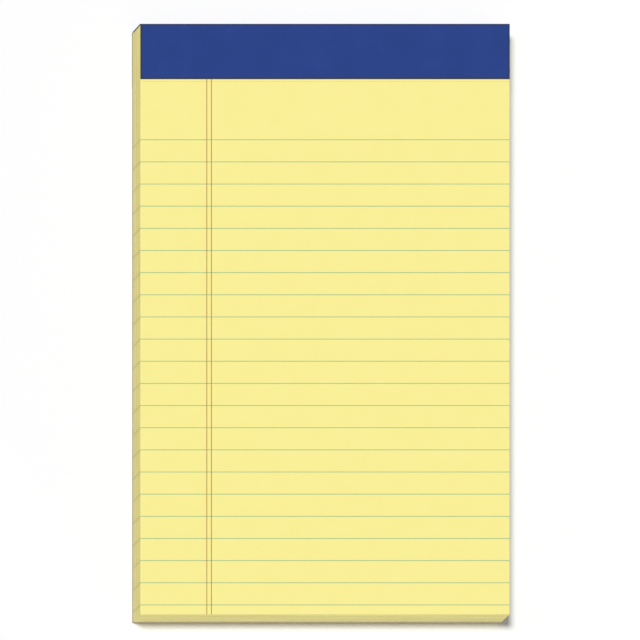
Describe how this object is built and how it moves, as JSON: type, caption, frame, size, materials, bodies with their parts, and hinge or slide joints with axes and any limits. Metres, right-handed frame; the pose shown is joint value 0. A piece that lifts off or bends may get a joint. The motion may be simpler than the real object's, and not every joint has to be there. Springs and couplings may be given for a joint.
{
  "type": "legal pad",
  "caption": "Small ruled writing pad with a left margin, its sheets perforated for tearing off and stapled to a chipboard back under a folded binding tape.",
  "frame": {"origin": "under the middle of the pad, on the surface that it lies on with the page up", "axes": "+Z out of the front page, +Y towards the bound edge, +X to the right across the page"},
  "size_m": [0.127, 0.2034, 0.0052],
  "materials": {
    "paper": "matte",
    "chipboard": "matte",
    "tape": "satin",
    "steel_wire": "satin",
    "ruling_ink": "matte",
    "margin_ink": "matte"
  },
  "bodies": {
    "root": {"page_block": "paper", "backing_board": "chipboard", "binding_tape": "tape", "staples": "steel_wire", "ruled_lines": "ruling_ink", "margin_lines": "margin_ink"}
  },
  "joints": []
}
